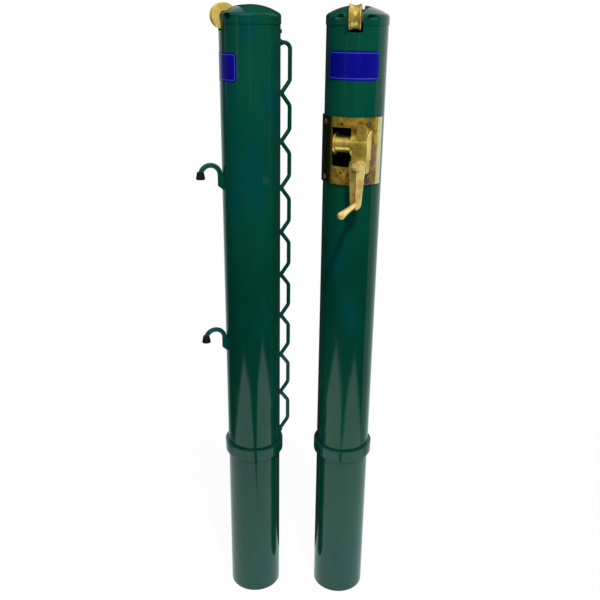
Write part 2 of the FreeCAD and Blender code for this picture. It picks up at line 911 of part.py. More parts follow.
def grip():
    """Horn-shaped grip that widens to a rounded end."""
    start = crank_back + crank_edge_thickness
    shoulder = grip_end - grip_end_radius
    diagonal = grip_end_radius * math.sqrt(0.5)
    waist = (grip_root_radius + grip_end_radius) / 2 - grip_waist
    outline = [
        Part.LineSegment(Vector(start, 0, 0), Vector(start, 0, grip_root_radius)).toShape(),
        Part.Arc(
            Vector(start, 0, grip_root_radius),
            Vector((start + shoulder) / 2, 0, waist),
            Vector(shoulder, 0, grip_end_radius),
        ).toShape(),
        Part.Arc(
            Vector(shoulder, 0, grip_end_radius),
            Vector(shoulder + diagonal, 0, diagonal),
            Vector(grip_end, 0, 0),
        ).toShape(),
        Part.LineSegment(Vector(grip_end, 0, 0), Vector(start, 0, 0)).toShape(),
    ]
    body = Part.Face(Part.Wire(outline)).revolve(Vector(0, 0, 0), Vector(1, 0, 0), 360)
    body.translate(Vector(0, gear_middle, worm_height - crank_length))
    return body


def arm_section():
    """The arm's section seen from above: a shallow roof on a flat back."""
    side = crank_head_width / 2
    edge = crank_back + crank_edge_thickness
    top = worm_height + crank_head_rise
    return closed_face(
        [
            Vector(crank_back, gear_middle - side, top),
            Vector(edge, gear_middle - side, top),
            Vector(crank_back + crank_thickness, gear_middle, top),
            Vector(edge, gear_middle + side, top),
            Vector(crank_back, gear_middle + side, top),
        ]
    )


def crank_handle():
    """Tapered arm with a ridged face, a round boss on its head and a fixed grip."""
    blank = Part.Face(arm_outline()).extrude(Vector(crank_thickness, 0, 0))
    reach = crank_head_rise + crank_length + crank_toe_drop
    roof = arm_section().extrude(Vector(0, 0, -reach))
    boss = on_crank_axis(crank_back, crank_front, crank_boss_radius)
    body = blank.common(roof).fuse([boss, grip()])
    pocket = on_crank_axis(crank_back, grip_end, crank_shaft_radius + running_gap)
    pocket = pocket.common(square_bar(crank_back, grip_end))
    counterbore = on_crank_axis(crank_screw_seat, grip_end, crank_screw_head_radius + seat_gap)
    return body.cut([pocket, counterbore])


def crank_screw():
    end = crank_back - crank_screw_length
    shank = on_crank_axis(end, crank_screw_seat, crank_screw_radius - running_gap)
    head = on_crank_axis(crank_screw_seat, crank_front, crank_screw_head_radius)
    return head.fuse(shank)


def stand(shape, post_x, heading):
    """Turn a part from its post's frame into the common frame."""
    placed = turned(shape, heading)
    placed.translate(Vector(post_x, 0, 0))
    return placed


def common_parts():
    return {
        "ground_collar": ground_collar(),
        "cap": cap(),
        "cap_screws": cap_screws(),
        "sheave": sheave(),
        "sheave_bush": sheave_bush(),
        "sheave_pin": sheave_pin(),
        "sheave_washers": sheave_washers(),
        "lacing_rod": lacing_rod(),
    }


def build():
    nodes = {}
    for name, shape in common_parts().items():
        nodes["anchor_" + name] = stand(shape, 0, anchor_heading)
        nodes["winder_" + name] = stand(shape, post_spacing, winder_heading)
    nodes["anchor_label"] = stand(label(anchor_label_drop), 0, anchor_heading)
    nodes["winder_label"] = stand(label(winder_label_drop), post_spacing, winder_heading)
    nodes["anchor_post_tube"] = stand(post_tube(), 0, anchor_heading)
    nodes["winder_post_tube"] = stand(winder_post_tube(), post_spacing, winder_heading)
    for name, drop in (("upper", 0), ("lower", hook_spacing)):
        height = upper_hook_height - drop
        nodes[name + "_cable_hook"] = stand(cable_hook(height), 0, anchor_heading)
        nodes[name + "_hook_tip"] = stand(hook_tip(height), 0, anchor_heading)
    winder = {
        "winder_casting": winder_casting(),
        "housing_cover": housing_cover(),
        "plate_screws": plate_screws(),
        "reel_drum": reel_drum(),
        "reel_shaft": reel_shaft(),
        "reel_bushes": reel_bushes(),
        "worm_wheel": worm_wheel(),
        "worm_shaft": worm_shaft(),
        "worm_bush": worm_bush(),
        "crank_handle": crank_handle(),
        "crank_screw": crank_screw(),
    }
    for name, shape in winder.items():
        nodes[name] = stand(shape, post_spacing, winder_heading + winder_turn)
    return nodes


os.makedirs("parts", exist_ok=True)
for node, shape in sorted(build().items()):
    shape.exportStep("parts/" + node + ".step")
    print(node, shape.ShapeType, len(shape.Solids), shape.isValid(), round(shape.Volume))
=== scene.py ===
# %% [markdown]
# # A pair of round net posts with a brass cable winder
#
# Two green posts stand on their ground stubs.  The left one, the anchor post, has two
# cable hooks.  The right one, the winder post, has a brass crank winder.  Both have a
# sheave in the cap and a zigzag rod for lacing the net.  The construction comes packed as
# fixed solids, so this lesson dresses them: finishes, softened castings, modelled screws,
# a studio and a camera.  All lengths are in metres, in the same frame as the solids, whose
# heights start at the posts' feet.

import json
import math

import bpy
from mathutils import Matrix, Vector


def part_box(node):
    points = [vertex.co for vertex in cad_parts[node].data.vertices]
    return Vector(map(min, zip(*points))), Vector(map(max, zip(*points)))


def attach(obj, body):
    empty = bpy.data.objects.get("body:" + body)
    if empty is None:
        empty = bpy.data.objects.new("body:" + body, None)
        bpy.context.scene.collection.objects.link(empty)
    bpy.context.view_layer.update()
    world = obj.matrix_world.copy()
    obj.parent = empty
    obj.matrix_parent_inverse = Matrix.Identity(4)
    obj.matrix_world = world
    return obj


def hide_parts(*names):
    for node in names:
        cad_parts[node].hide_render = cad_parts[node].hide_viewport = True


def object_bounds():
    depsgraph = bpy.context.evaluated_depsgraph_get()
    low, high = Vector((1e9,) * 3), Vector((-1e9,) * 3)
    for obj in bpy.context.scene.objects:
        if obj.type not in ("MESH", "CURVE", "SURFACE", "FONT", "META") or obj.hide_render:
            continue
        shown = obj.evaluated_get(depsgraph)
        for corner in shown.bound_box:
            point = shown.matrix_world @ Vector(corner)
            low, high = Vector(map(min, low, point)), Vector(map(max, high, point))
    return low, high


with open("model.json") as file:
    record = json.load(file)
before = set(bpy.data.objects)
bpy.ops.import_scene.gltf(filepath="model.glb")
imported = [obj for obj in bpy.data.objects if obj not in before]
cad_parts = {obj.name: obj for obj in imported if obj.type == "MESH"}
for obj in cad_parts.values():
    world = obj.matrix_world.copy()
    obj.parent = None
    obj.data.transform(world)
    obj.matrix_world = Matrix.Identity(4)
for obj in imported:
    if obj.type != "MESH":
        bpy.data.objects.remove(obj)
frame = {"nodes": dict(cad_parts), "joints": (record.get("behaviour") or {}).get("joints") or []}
nodes = frame["nodes"]
cad_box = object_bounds()
print(len(nodes), "solids loaded")


# %% [markdown]
# ## Where things are
#
# A finish or a lamp could be placed by typed numbers, but those go wrong as soon as a
# size changes.  Here every place is read from the solids' boxes instead.  A post's axis is
# the middle of its tube's box, and half the box's width is the tube's radius.

# %% Read the posts' places
def box_middle(name):
    low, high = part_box(name)
    return (low + high) / 2


anchor_axis = box_middle("anchor_post_tube")
winder_axis = box_middle("winder_post_tube")
between = (anchor_axis.x + winder_axis.x) / 2
tube_low, tube_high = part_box("anchor_post_tube")
tube_radius = (tube_high.x - tube_low.x) / 2
print("axes", round(anchor_axis.x, 4), round(winder_axis.x, 4), "radius", round(tube_radius, 4))


# %% [markdown]
# ## Shader sums as Python
#
# A shader is a graph of small nodes.  It can be drawn by hand or written node by node,
# and both are tiring to read back.  The class below wraps one socket, so that `1 - mask`
# or `height * 40` adds the Math nodes by itself.  Its `node` method makes any other node
# from its settings and inputs.

# %% Fill an input
def put(tree, target, value):
    """Link a Socket to an input, or write a plain value into it."""
    if isinstance(value, Socket):
        tree.links.new(value.output, target)
    elif isinstance(value, (tuple, list)) and len(value) == 3 and target.type == "RGBA":
        target.default_value = (*value, 1)
    else:
        target.default_value = value


# %% The socket class
class Socket:
    """An output socket that can be used in sums.  Without an output, it starts a tree."""

    def __init__(self, tree, output=None):
        self.tree = tree
        self.output = output

    def node(self, kind, settings=None, inputs=None, result=0):
        """Add a node, set it up, link or fill its inputs, and give back one output."""
        made = self.tree.nodes.new(kind)
        for name, value in (settings or {}).items():
            setattr(made, name, value)
        for name, value in (inputs or {}).items():
            put(self.tree, made.inputs[name], value)
        return Socket(self.tree, made.outputs[result] if made.outputs else None)

    def beside(self, result):
        """Another output of the same node."""
        return Socket(self.tree, self.output.node.outputs[result])

    def math(self, operation, *values):
        return self.node("ShaderNodeMath", {"operation": operation}, dict(enumerate(values)))

    def __add__(self, other):
        return self.math("ADD", self, other)

    def __sub__(self, other):
        return self.math("SUBTRACT", self, other)

    def __mul__(self, other):
        return self.math("MULTIPLY", self, other)

    def __truediv__(self, other):
        return self.math("DIVIDE", self, other)

    def __radd__(self, other):
        return self.math("ADD", other, self)

    def __rsub__(self, other):
        return self.math("SUBTRACT", other, self)

    def __rmul__(self, other):
        return self.math("MULTIPLY", other, self)

    def absolute(self):
        return self.math("ABSOLUTE", self)

    def at_least(self, other):
        return self.math("MAXIMUM", self, other)

    def ramp(self, start, end):
        """0 before start and 1 after end, with a soft step between."""
        settings = {"interpolation_type": "SMOOTHSTEP"}
        inputs = {"Value": self, "From Min": start, "From Max": end}
        return self.node("ShaderNodeMapRange", settings, inputs)

    def mix_colours(self, first, second):
        """A colour between two others, with this socket as the share of the second."""
        settings = {"data_type": "RGBA"}
        return self.node("ShaderNodeMix", settings, {0: self, 6: first, 7: second}, 2)


print("Socket turns sums into Math nodes")


# %% [markdown]
# ## Places in a shader
#
# A shader knows where it is by its Object coordinates, which stay on the piece when it
# moves.  These few functions take such a place apart, measure it from a point or along a
# direction, and turn two of its parts into a distance or an angle.

# %% Measure a place
def parts(vector):
    """The x, y and z of a vector, each as a socket."""
    x = vector.node("ShaderNodeSeparateXYZ", None, {0: vector})
    return x, x.beside(1), x.beside(2)


def from_point(place, point):
    """A place measured from a fixed point."""
    return place.node("ShaderNodeVectorMath", {"operation": "SUBTRACT"}, {0: place, 1: point})


def along(place, direction):
    """How far a place lies in a fixed direction."""
    settings = {"operation": "DOT_PRODUCT"}
    return place.node("ShaderNodeVectorMath", settings, {0: place, 1: direction}, "Value")


def distance(x, y):
    squares = x * x + y * y
    return squares.math("SQRT", squares)


def heading_of(rise, run):
    """The angle, in radians, whose tangent is rise over run."""
    return rise.math("ARCTAN2", rise, run)


print("places can be measured in a shader")


# %% [markdown]
# ## Colours
#
# Shaders work in linear light, while colours are read in display values.  A number
# copied straight from a swatch would come out too pale.  One function turns a display
# colour of 0 to 255 into a linear one.

# %% Display colours to linear light
def colour(red, green, blue):
    linear = []
    for part in (red, green, blue):
        value = part / 255
        linear.append(value / 12.92 if value <= 0.04045 else ((value + 0.055) / 1.055) ** 2.4)
    return tuple(linear)


print("half-bright grey is", round(colour(128, 128, 128)[0], 3), "in linear light")


# %% [markdown]
# ## How each finish starts
#
# Painted pictures of a surface need unwrapped meshes and blur when seen close.  Noise
# reads the place itself, needs no unwrapping and stays sharp, so every finish here is
# made of it: clouds for stain, stretched clouds for smears, and fine grain for bumps.

# %% Start a material
def new_material(name, roughness, metallic=0.0):
    """A material with a Principled shader, and a Socket of its Object coordinates."""
    material = bpy.data.materials.new(name)
    material.use_nodes = True
    shader = material.node_tree.nodes["Principled BSDF"]
    shader.inputs["Roughness"].default_value = roughness
    shader.inputs["Metallic"].default_value = metallic
    place = Socket(material.node_tree).node("ShaderNodeTexCoord", result="Object")
    return material, shader, place


def noise(place, scale, detail=3.0, stretch=(1, 1, 1)):
    """Cloudy noise from 0 to 1, with a scale in waves per metre."""
    mapped = place.node("ShaderNodeMapping", None, {"Vector": place, "Scale": stretch})
    inputs = {"Vector": mapped, "Scale": scale, "Detail": detail}
    return place.node("ShaderNodeTexNoise", None, inputs)


def bump(place, shader, height, strength, depth):
    """Tilt the surface by a height pattern."""
    inputs = {"Height": height, "Strength": strength, "Distance": depth}
    put(place.tree, shader.inputs["Normal"], place.node("ShaderNodeBump", None, inputs))


print("materials can be started")


# %% [markdown]
# ## Green powder coat
#
# The posts, caps, rods and hooks wear a glossy dark green powder coat.  Powder melts into
# a skin with a faint orange-peel ripple.  That ripple is far too fine to model, so a low
# bump runs under a sharp gloss.  The colour drifts a little towards teal, and handling
# leaves soft upright smears in the gloss.

# %% Green powder coat
def green_coat():
    material, shader, place = new_material("green_powder_coat", 0.12)
    cloud = noise(place, 5.0, 4.0, (1, 1, 0.35))
    tone = cloud.ramp(0.3, 0.7).mix_colours(colour(0, 48, 36), colour(4, 62, 46))
    teal = noise(place, 11.0, 3.0, (1, 1, 0.4)).ramp(0.5, 0.7)
    tone = teal.mix_colours(tone, colour(0, 56, 54))
    put(place.tree, shader.inputs["Base Color"], tone)
    smear = noise(place, 60.0, 3.0, (1, 1, 0.06))
    put(place.tree, shader.inputs["Roughness"], 0.08 + 0.09 * smear.ramp(0.4, 0.8))
    shader.inputs["IOR"].default_value = 1.5
    bump(place, shader, noise(place, 420.0, 2.0), 0.06, 0.0004)
    return material


green = green_coat()
print("made", green.name)


# %% [markdown]
# ## Turned and cast brass
#
# The left sheave is turned brass that has gone dull.  The right sheave and the drum are
# polished by the cable, so they mirror the room more.  The housing's cover is cast brass,
# and the hidden bushes and the worm wheel are bronze.  Each could be a material by itself,
# but they differ only in colour, polish and stain, so one recipe makes them all.

# %% Brass
def brass(name, bright, shaded_tone, roughness, metallic, stain_scale, ripple):
    material, shader, place = new_material(name, roughness, metallic)
    stain = noise(place, stain_scale, 4.0).ramp(0.45, 0.7)
    put(place.tree, shader.inputs["Base Color"], stain.mix_colours(bright, shaded_tone))
    grain = noise(place, 220.0, 2.0)
    put(place.tree, shader.inputs["Roughness"], roughness + 0.08 * grain - 0.04)
    bump(place, shader, noise(place, 70.0, 2.0), ripple, 0.0008)
    return material


# %% The four plain brasses
dull_gold, dull_gold_stain = colour(242, 214, 116), colour(214, 184, 86)
clear_gold, clear_gold_stain = colour(240, 208, 108), colour(206, 170, 76)
cast_gold, cast_gold_stain = colour(232, 208, 122), colour(196, 168, 84)
red_gold, red_gold_stain = colour(196, 142, 84), colour(150, 100, 56)

turned_brass = brass("turned_brass", dull_gold, dull_gold_stain, 0.3, 0.55, 60.0, 0.05)
polished_brass = brass("polished_brass", clear_gold, clear_gold_stain, 0.22, 0.76, 60.0, 0.03)
cast_brass = brass("cast_brass", cast_gold, cast_gold_stain, 0.3, 0.5, 50.0, 0.12)
bronze = brass("bearing_bronze", red_gold, red_gold_stain, 0.35, 0.7, 80.0, 0.1)
for metal in (turned_brass, polished_brass, cast_brass, bronze):
    print("made", metal.name)


# %% [markdown]
# ## Brass of the winder's casting
#
# The saddle plate has stood in the weather: it is brown in patches of tarnish.  Its left, where
# it curves away, is painted dark as shade, its lower right has a pinkish reflection painted in
# patches, and its right rim a pale painted highlight.  The housing that stands on it is handled
# and smoother.  Plate and housing are one casting, so the finish tells them apart by how far a
# place stands off the tube.

# %% Zones of the casting
def casting_zones(place):
    """Shares, from 0 to 1, of the raised housing, the low right, the part clear of the painted
    shade on the left, and the right rim's painted highlight.
    """
    x, y, z = parts(from_point(place, (winder_axis.x, winder_axis.y, 0)))
    above_barrel = (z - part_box("housing_cover")[1].z).ramp(0.0, 0.001)
    stand = distance(x, y) - tube_radius
    raised = stand.ramp(0.0064, 0.0072) * (1 - above_barrel)
    above_middle = (z - box_middle("winder_casting").z).ramp(0.0, 0.02)
    low_right = x.ramp(0.005, 0.02) * (1 - above_middle)
    return raised, low_right, x.ramp(-0.056, -0.042), x.ramp(0.047, 0.05)


plate_low, plate_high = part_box("winder_casting")
print("plate from height", round(plate_low.z, 4), "to", round(plate_high.z, 4))


# %% Stained brass
def casting_brass():
    material, shader, place = new_material("casting_brass", 0.22, 0.78)
    raised, low_right, clear_of_painted_shade, painted_rim_highlight = casting_zones(place)
    patch = noise(place, 75.0, 6.0).ramp(0.34, 0.68)
    plate = patch.mix_colours(colour(240, 204, 84), colour(170, 122, 48))
    # Painted reflection: a pinkish reflection is coloured in patches on the plate's lower right.
    painted_pink_reflection = noise(place, 50.0, 6.0).ramp(0.36, 0.56) * low_right
    plate = (painted_pink_reflection * 0.85).mix_colours(plate, colour(178, 140, 130))
    # Painted shade: the plate's left, where it curves away, is coloured dark.
    plate = clear_of_painted_shade.mix_colours(colour(46, 46, 22), plate)
    # Painted highlight: a pale strip is coloured along the plate's right rim.
    plate = (painted_rim_highlight * 0.8).mix_colours(plate, colour(250, 238, 186))
    cloud = noise(place, 45.0, 3.0).ramp(0.45, 0.7)
    cast = cloud.mix_colours(colour(228, 200, 92), colour(186, 156, 58))
    put(place.tree, shader.inputs["Base Color"], raised.mix_colours(plate, cast))
    put(place.tree, shader.inputs["Roughness"], 0.17 + 0.12 * raised + 0.06 * patch)
    bump(place, shader, noise(place, 55.0, 2.0), 0.28, 0.0012)
    return material


plate_brass = casting_brass()
print("made", plate_brass.name)


# %% [markdown]
# ## Brass of the crank
#
# The crank is forged.  A dark line is painted along the arm's ridge, and the arm's left side is
# painted darker as shade, while its right side and its grip keep the plain colour.  The line
# could be a cut in the mesh, but it is only a dark line on the metal, so it is coloured.  It is
# placed by the crank's own joint and turns with the crank, as Object coordinates do.  The line
# and the shade end where the grip begins, at half the arm's depth from the joint.

# %% Brass of the crank
arm_half_depth = 0.0125


def crank_brass():
    material, shader, place = new_material("crank_brass", 0.3, 0.5)
    joint = next(joint for joint in frame["joints"] if joint["name"] == "crank_spin")
    outward = Vector(joint["axis"])
    from_hub = from_point(place, Vector(joint["pos_m"]))
    across = along(from_hub, Vector((0, 0, 1)).cross(outward))
    past_arm = along(from_hub, outward).absolute().ramp(arm_half_depth, arm_half_depth + 0.001)
    on_arm = 1 - past_arm
    stain = noise(place, 50.0, 4.0)
    bright = stain.ramp(0.45, 0.7).mix_colours(colour(240, 212, 132), colour(206, 174, 94))
    # Painted shade: a darker copy of the stained colour, for the arm's left side.
    shaded_tone = stain.ramp(0.4, 0.65).mix_colours(colour(186, 164, 88), colour(148, 124, 58))
    left = 1 - across.ramp(-0.001, 0.001)
    tone = (left * on_arm).mix_colours(bright, shaded_tone)
    # A dark line is painted along the arm's ridge, on the arm only.
    dark_ridge_line = (1 - across.absolute().ramp(0.0004, 0.0014)) * on_arm
    tone = (dark_ridge_line * 0.7).mix_colours(tone, colour(96, 72, 30))
    put(place.tree, shader.inputs["Base Color"], tone)
    put(place.tree, shader.inputs["Roughness"], 0.27 + 0.08 * noise(place, 220.0, 2.0))
    bump(place, shader, noise(place, 70.0, 2.0), 0.12, 0.0008)
    return material


forged_brass = crank_brass()
print("made", forged_brass.name)


# %% [markdown]
# ## Steel and rubber
#
# Screws, washers and shafts are bare steel that has lost its shine, and the hooks wear
# black rubber tips.  Both are small and dark, so a patchy roughness does more for them
# than colour: it breaks up the light that would give away a smooth surface.

# %% Steel
def steel():
    material, shader, place = new_material("dull_steel", 0.38, 0.6)
    patch = noise(place, 240.0, 4.0)
    tone = patch.mix_colours(colour(82, 78, 62), colour(120, 114, 92))
    put(place.tree, shader.inputs["Base Color"], tone)
    put(place.tree, shader.inputs["Roughness"], 0.3 + 0.2 * patch)
    return material


plain_steel = steel()
print("made", plain_steel.name)


# %% Rubber
def rubber():
    material, shader, place = new_material("black_rubber", 0.55)
    dust = noise(place, 150.0, 4.0)
    tone = dust.ramp(0.45, 0.8).mix_colours(colour(9, 9, 10), colour(30, 30, 31))
    put(place.tree, shader.inputs["Base Color"], tone)
    put(place.tree, shader.inputs["Roughness"], 0.45 + 0.2 * dust)
    bump(place, shader, noise(place, 900.0, 2.0), 0.15, 0.0004)
    return material


black_rubber = rubber()
print("made", black_rubber.name)


# %% [markdown]
# ## Label
#
# The label is a thin blue plate bent round the post, with a fine pale line just inside
# its edge and nothing else on it.  The line could be a raised strip, but a printed line
# has no height, so it is coloured.  It is worked out from the label's own place: the way
# round the post gives the distance from its sides, and the height that from its ends.

# %% Measure a label
def label_heading(node, axis):
    """The direction that the label faces, as an angle about its post."""
    middle = box_middle(node)
    return math.atan2(middle.y - axis.y, middle.x - axis.x)


def label_half_turn(node, axis, heading):
    """Half of the angle that the label covers."""
    widest = 0
    for vertex in nodes[node].data.vertices:
        angle = math.atan2(vertex.co.y - axis.y, vertex.co.x - axis.x) - heading
        angle = (angle + math.pi) % (2 * math.pi) - math.pi
        widest = max(widest, abs(angle))
    return widest


for node, axis in (("anchor_label", anchor_axis), ("winder_label", winder_axis)):
    heading = label_heading(node, axis)
    print(node, "half turn", round(math.degrees(label_half_turn(node, axis, heading)), 1))


# %% Border line of a label
border_inset = 0.0042
border_corner = 0.0045
border_width = 0.0007


def border_line(node, axis, place):
    """1 on the line and 0 elsewhere, round a rectangle with rounded corners."""
    low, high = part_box(node)
    heading = label_heading(node, axis)
    x, y, z = parts(from_point(place, (axis.x, axis.y, box_middle(node).z)))
    out = x * math.cos(heading) + y * math.sin(heading)
    across = y * math.cos(heading) - x * math.sin(heading)
    half_width = tube_radius * label_half_turn(node, axis, heading)
    from_side = half_width - (heading_of(across, out) * tube_radius).absolute()
    from_end = (high.z - low.z) / 2 - z.absolute()
    past_side = (border_inset + border_corner - from_side).at_least(0.0)
    past_end = (border_inset + border_corner - from_end).at_least(0.0)
    gap = (distance(past_side, past_end) - border_corner).absolute()
    return 1 - gap.ramp(border_width * 0.35, border_width)


print("border line", border_inset * 1000, "mm inside the label's edge")


# %% Blue label
def label_blue(node, axis):
    material, shader, place = new_material("blue_" + node, 0.22)
    tone = noise(place, 40.0, 3.0).mix_colours(colour(0, 0, 100), colour(2, 2, 118))
    tone = border_line(node, axis, place).mix_colours(tone, colour(70, 74, 178))
    put(place.tree, shader.inputs["Base Color"], tone)
    put(place.tree, shader.inputs["Roughness"], 0.16 + 0.14 * noise(place, 90.0, 3.0))
    return material


anchor_blue = label_blue("anchor_label", anchor_axis)
winder_blue = label_blue("winder_label", winder_axis)
print("made", anchor_blue.name, "and", winder_blue.name)


# %% [markdown]
# ## Dress the solids
#
# Each solid gets one finish.  The two posts share most names but for the word in front,
# so a finish is looked up by how a name ends.  The first ending that fits counts, which is
# why the winder's polished sheave stands before the plain one.

# %% Which finish goes where
finishes = {
    "anchor_label": anchor_blue,
    "winder_label": winder_blue,
    "ground_collar": green,
    "cap_screws": green,
    "cap": green,
    "sheave_bush": bronze,
    "sheave_pin": green,
    "sheave_washers": plain_steel,
    "winder_sheave": polished_brass,
    "sheave": turned_brass,
    "lacing_rod": green,
    "post_tube": green,
    "cable_hook": green,
    "hook_tip": black_rubber,
    "winder_casting": plate_brass,
    "housing_cover": cast_brass,
    "plate_screws": plain_steel,
    "reel_drum": polished_brass,
    "reel_shaft": plain_steel,
    "reel_bushes": bronze,
    "worm_wheel": bronze,
    "worm_shaft": plain_steel,
    "worm_bush": bronze,
    "crank_handle": forged_brass,
    "crank_screw": cast_brass,
}
print(len(finishes), "kinds of piece have a finish")


# %% Put the finishes on
def dress(piece, material):
    """Give a whole piece one finish."""
    piece.data.materials.clear()
    piece.data.materials.append(material)


for name, solid in nodes.items():
    ending = next(end for end in finishes if name.endswith(end))
    dress(solid, finishes[ending])
print("dressed", len(nodes), "solids")


# %% [markdown]
# ## Softened castings
#
# A cast or forged edge is never sharp, and its small round catches a line of light.  The
# Bevel node could fake that light, but a real bevel also shows in the outline and in other
# programs.  So each of these parts gets a copy whose loose triangles are merged, whose flat
# facets become whole faces, and whose edges are then bevelled.  Weighted normals keep the
# flats flat.  The copy stands for the solid.

# %% Small helpers for modelling
def select_only(piece):
    """Make a piece the only selected one, and the one that operators act on."""
    bpy.ops.object.select_all(action="DESELECT")
    bpy.context.view_layer.objects.active = piece
    piece.select_set(True)


def apply_modifier(piece, kind, **settings):
    """Add a modifier to the active piece, set it up, and apply it."""
    modifier = piece.modifiers.new(kind, kind)
    for name, value in settings.items():
        setattr(modifier, name, value)
    bpy.ops.object.modifier_apply(modifier=modifier.name)


def bevel_edges(piece, width, segments, sharp_angle):
    """Round the edges that are sharper than an angle in degrees."""
    limit = math.radians(sharp_angle)
    settings = {"limit_method": "ANGLE", "angle_limit": limit}
    apply_modifier(piece, "BEVEL", width=width, segments=segments, **settings)


print("modifiers can be applied")


# %% Bevelled copies
weld_distance = 0.00001
flat_angle = math.radians(0.5)
smooth_angle = math.radians(40)


def rounded_copy(name, body, width):
    """A copy of a brass solid with small rounded edges, riding where the solid rides."""
    piece = bpy.data.objects.new("soft_" + name, nodes[name].data.copy())
    bpy.context.scene.collection.objects.link(piece)
    select_only(piece)
    bpy.ops.object.mode_set(mode="EDIT")
    bpy.ops.mesh.select_all(action="SELECT")
    bpy.ops.mesh.remove_doubles(threshold=weld_distance)
    bpy.ops.mesh.dissolve_limited(angle_limit=flat_angle)
    bpy.ops.object.mode_set(mode="OBJECT")
    bevel_edges(piece, width, 2, 35)
    bpy.ops.object.shade_smooth_by_angle(angle=smooth_angle)
    apply_modifier(piece, "WEIGHTED_NORMAL", keep_sharp=True)
    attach(piece, body)
    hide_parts(name)
    print(piece.name, len(piece.data.polygons), "faces")


rounded_copy("winder_casting", "posts", 0.001)
rounded_copy("housing_cover", "posts", 0.0005)
rounded_copy("crank_handle", "crank", 0.0009)


# %% [markdown]
# ## Where the plate's screws are
#
# Four button-head screws hold the saddle plate.  They come as one mesh of four plain
# screws, and their places are needed, to put better ones there.  A person would separate
# the mesh by loose parts.  Here its corners are sorted into shells in code, so the solid
# itself isn't touched.

# %% Sort a mesh into its shells
def loose_parts(mesh):
    """The mesh's vertex places, one list for each separate shell."""
    group = list(range(len(mesh.vertices)))

    def root(index):
        while group[index] != index:
            group[index] = group[group[index]]
            index = group[index]
        return index

    seen = {}
    for vertex in mesh.vertices:
        key = tuple(round(part, 5) for part in vertex.co)
        group[root(vertex.index)] = root(seen.setdefault(key, vertex.index))
    for edge in mesh.edges:
        group[root(edge.vertices[0])] = root(edge.vertices[1])
    shells = {}
    for vertex in mesh.vertices:
        shells.setdefault(root(vertex.index), []).append(vertex.co.copy())
    return list(shells.values())


plain_screws = loose_parts(nodes["plate_screws"].data)
print(len(plain_screws), "screws found")


# %% Place of one screw
def screw_place(points):
    """Heading, height, and inner and outer reach of a screw that points at the axis."""
    middle = sum(points, Vector()) / len(points)
    heading = math.atan2(middle.y - winder_axis.y, middle.x - winder_axis.x)
    outward = Vector((math.cos(heading), math.sin(heading), 0))
    reaches = [(point - winder_axis).dot(outward) for point in points]
    return heading, middle.z, min(reaches), max(reaches)


screw_places = [screw_place(points) for points in plain_screws]
for heading, height, inner, outer in screw_places:
    print("screw at", round(math.degrees(heading)), "degrees, height", round(height, 4))


# %% [markdown]
# ## Button-head screws
#
# Each screw starts as a short cylinder, which is its head.  An inset in its underside
# gives the circle of the shank, which is then extruded, and a bevel rounds the rim.  A
# six-sided prism is cut out for the key by a Boolean.  The screw is modelled upright at
# the origin, and only then laid down towards the post's axis, because both are simpler
# apart.

# %% Select faces by a test
def select_faces(piece, chosen):
    """Enter edit mode with only those faces selected that pass a test."""
    bpy.ops.object.mode_set(mode="EDIT")
    bpy.ops.mesh.select_mode(type="FACE")
    bpy.ops.mesh.select_all(action="DESELECT")
    bpy.ops.object.mode_set(mode="OBJECT")
    for face in piece.data.polygons:
        face.select = chosen(face)
    bpy.ops.object.mode_set(mode="EDIT")


# %% Head and shank
head_radius = 0.006
head_height = 0.0026
shank_radius = 0.0033
rim_round = 0.0011


def screw_blank(name, shank_length):
    """An upright head at the origin, with its shank below."""
    bpy.ops.object.select_all(action="DESELECT")
    bpy.ops.mesh.primitive_cylinder_add(vertices=48, radius=head_radius, depth=head_height)
    screw = bpy.context.object
    screw.name = name
    select_faces(screw, lambda face: face.normal.z < -0.9)
    bpy.ops.mesh.inset(thickness=head_radius - shank_radius)
    down = {"value": (0, 0, -shank_length)}
    bpy.ops.mesh.extrude_region_move(TRANSFORM_OT_translate=down)
    bpy.ops.object.mode_set(mode="OBJECT")
    bevel_edges(screw, rim_round, 4, 60)
    return screw


print("screw head", head_radius * 2000, "mm across")


# %% Socket for the key
key_radius = 0.0026
key_length = 0.004


def cut_socket(screw):
    """Cut a six-sided hole into the head."""
    top = (0, 0, head_height)
    bpy.ops.mesh.primitive_cylinder_add(
        vertices=6, radius=key_radius, depth=key_length, location=top
    )
    cutter = bpy.context.object
    select_only(screw)
    apply_modifier(screw, "BOOLEAN", operation="DIFFERENCE", object=cutter)
    bpy.data.objects.remove(cutter)
    bpy.ops.object.shade_smooth_by_angle(angle=math.radians(30))


print("key socket", key_radius * 2000, "mm across its corners")


# %% Put in the four screws
head_lift = 0.0004

for number, (heading, height, inner, outer) in enumerate(screw_places):
    screw = screw_blank(f"plate_screw_{number + 1}", outer - inner - head_height)
    cut_socket(screw)
    outward = Vector((math.cos(heading), math.sin(heading), 0))
    reach = outer - head_height / 2 + head_lift
    screw.location = Vector((winder_axis.x, winder_axis.y, height)) + outward * reach
    screw.rotation_euler = (0, math.pi / 2, heading)
    bpy.ops.object.transform_apply(location=True, rotation=True, scale=True)
    dress(screw, plain_steel)
    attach(screw, "posts")
    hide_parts("plate_screws")
    print(screw.name, len(screw.data.polygons), "faces")


# %% [markdown]
# ## What the mirrors see
#
# Gloss shows the room, so a glossy post needs a room to show.  It could be built of walls
# and windows, or taken from a picture.  Here it is a plain sum of directions.  Behind the
# posts it is bright, more so to the right, and in front it is dark.  One function gives
# that brightness, and serves both the far floor and the world.

# %% Brightness of the room by direction
def room_glow(x, y):
    """Brightness seen by mirror rays in the level direction x, y, with +y behind."""
    right = 0.4 * y.ramp(-0.22, -0.02) + 0.5 * y.ramp(0.0, 0.8)
    left = 0.85 * y.ramp(0.28, 0.9)
    return left + (right - left) * x.ramp(-0.05, 0.05)


